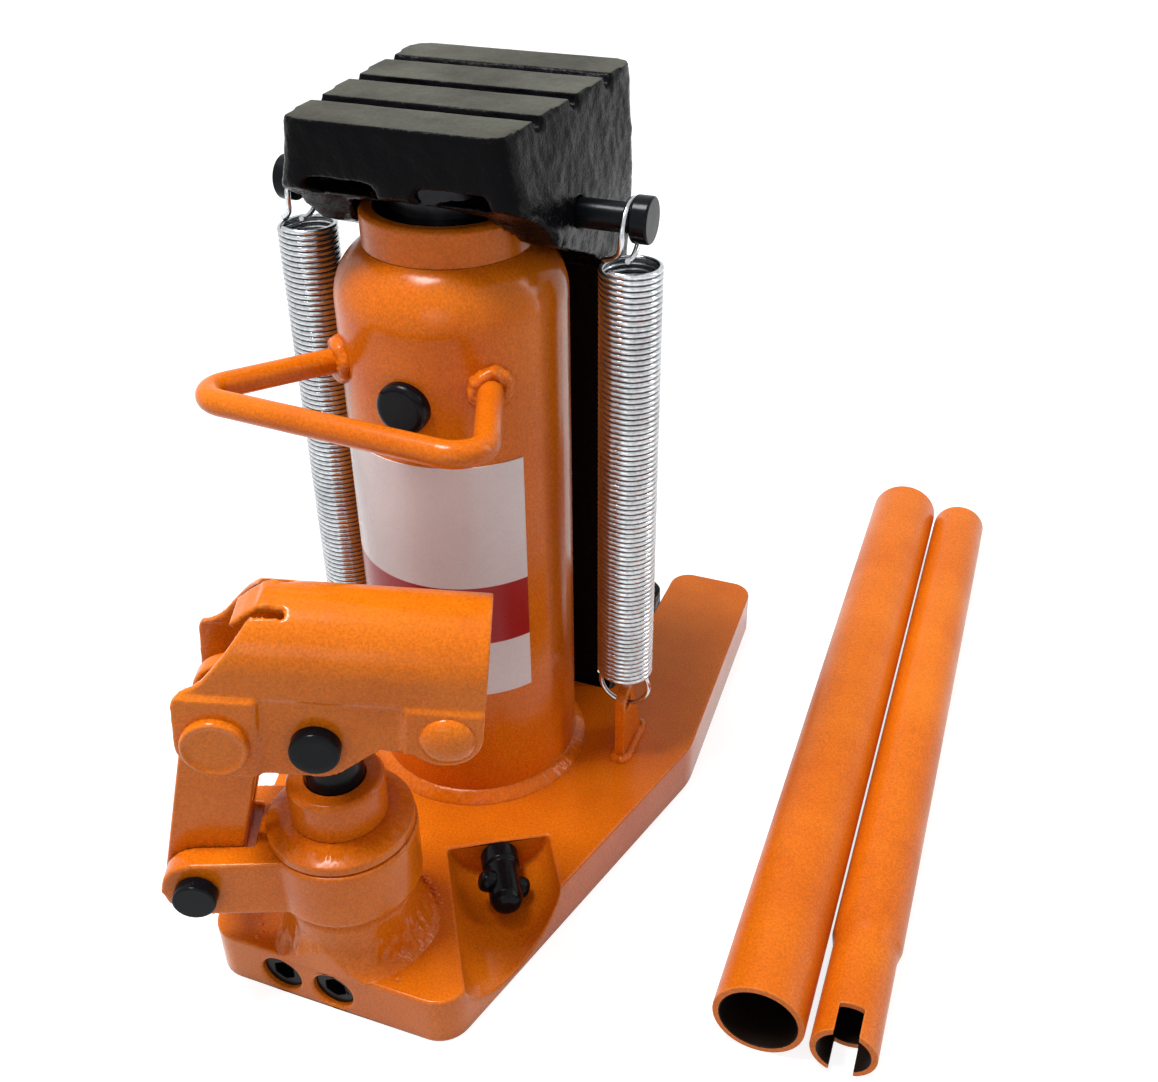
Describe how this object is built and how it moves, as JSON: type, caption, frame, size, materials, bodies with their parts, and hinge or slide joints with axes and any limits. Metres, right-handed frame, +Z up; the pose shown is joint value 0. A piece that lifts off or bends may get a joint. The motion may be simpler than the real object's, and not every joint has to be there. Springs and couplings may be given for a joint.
{
  "type": "hydraulic toe jack",
  "caption": "Hydraulic toe jack: welded base with a toe slot, spring-returned lifting head and toe, swivelling hand pump, release valve and two-piece lever.",
  "frame": {"origin": "on the ram axis, at the underside of the base plate", "axes": "+Z up along the ram, +Y towards the toe, the pump stands at -Y"},
  "size_m": [0.2041, 0.2969, 0.213],
  "materials": {
    "orange_paint": "gloss enamel",
    "black_casting": "rough casting under gloss black enamel",
    "zinc_plate": "bright zinc plate",
    "black_oxide": "oiled black oxide",
    "bright_steel": "ground steel",
    "seal_rubber": "matt nitrile",
    "label_film": "printed film"
  },
  "bodies": {
    "base": {"base_plate": "orange_paint", "gallery_plugs": "black_oxide", "check_balls": "bright_steel", "check_springs": "bright_steel", "reservoir_tube": "orange_paint", "cylinder_weld": "orange_paint", "pressure_cylinder": "bright_steel", "cylinder_gasket": "seal_rubber", "top_nut": "orange_paint", "ram_wiper": "seal_rubber", "label": "label_film", "carry_handle": "orange_paint", "spring_left": "zinc_plate", "spring_right": "zinc_plate", "spring_anchor_left": "orange_paint", "spring_anchor_right": "orange_paint", "pump_body": "orange_paint", "pump_weld": "orange_paint", "pump_collar_nut": "orange_paint", "pump_gland": "orange_paint", "pump_seal": "seal_rubber", "release_ball": "bright_steel"},
    "lift_carriage": {"carriage": "black_casting", "ram": "black_oxide", "piston_seal": "seal_rubber", "spring_pin_left": "black_oxide", "spring_pin_right": "black_oxide"},
    "oil_plug": {"oil_filler_plug": "seal_rubber"},
    "swivel": {"swivel_bracket": "orange_paint", "link_pin": "black_oxide", "link_pin_clip": "black_oxide"},
    "link": {"link_plate_near": "orange_paint", "link_plate_far": "orange_paint"},
    "lever_socket": {"lever_socket": "orange_paint", "fulcrum_pin": "orange_paint", "drive_pin": "black_oxide", "mouth_pin": "orange_paint"},
    "plunger": {"pump_plunger": "black_oxide"},
    "release_valve": {"release_valve": "black_oxide", "valve_cross_bar": "black_oxide", "valve_seal": "seal_rubber"},
    "outer_lever_tube": {"lever_tube_outer": "orange_paint"},
    "inner_lever_tube": {"lever_tube_inner": "orange_paint"}
  },
  "joints": [
    {"name": "ram_lift", "type": "slide", "parent": "base", "child": "lift_carriage", "axis": [0, 0, 1], "range_m": [0, 0.114], "stiffness_N_per_m": 600, "springref_m": -0.03, "deforming": ["spring_left", "spring_right"]},
    {"name": "oil_plug_pull", "type": "slide", "parent": "base", "child": "oil_plug", "axis": [0, -1, 0], "range_m": [0, 0.012]},
    {"name": "pump_swivel", "type": "hinge", "parent": "base", "child": "swivel", "pos_m": [0, -0.081, 0.0446], "axis": [0, 0, 1], "continuous": true},
    {"name": "link_swing", "type": "hinge", "parent": "swivel", "child": "link", "pos_m": [-0.03245, -0.09411, 0.0446], "axis": [0.3746, -0.9272, 0], "range_deg": [-4, 4]},
    {"name": "lever_pump", "type": "hinge", "parent": "link", "child": "lever_socket", "pos_m": [-0.02065, -0.08934, 0.09408], "axis": [0.3746, -0.9272, 0], "range_deg": [0, 38]},
    {"name": "plunger_stroke", "type": "slide", "parent": "swivel", "child": "plunger", "axis": [0, 0, 1], "range_m": [0, 0.01305]},
    {"name": "valve_turn", "type": "hinge", "parent": "base", "child": "release_valve", "pos_m": [0.0242, -0.0416, 0.0108], "axis": [0.515, -0.8572, 0], "range_deg": [0, 180]},
    {"name": "outer_tube_lift", "type": "slide", "parent": "base", "child": "outer_lever_tube", "axis": [0, 0, 1], "range_m": [0, 0.15]},
    {"name": "inner_tube_lift", "type": "slide", "parent": "base", "child": "inner_lever_tube", "axis": [0, 0, 1], "range_m": [0, 0.15]}
  ],
  "couplings": [
    {"joint": "lever_pump", "follows": "plunger_stroke", "rad_per_m": 50.787},
    {"joint": "link_swing", "follows": "plunger_stroke", "rad_per_m": -3.2504}
  ]
}
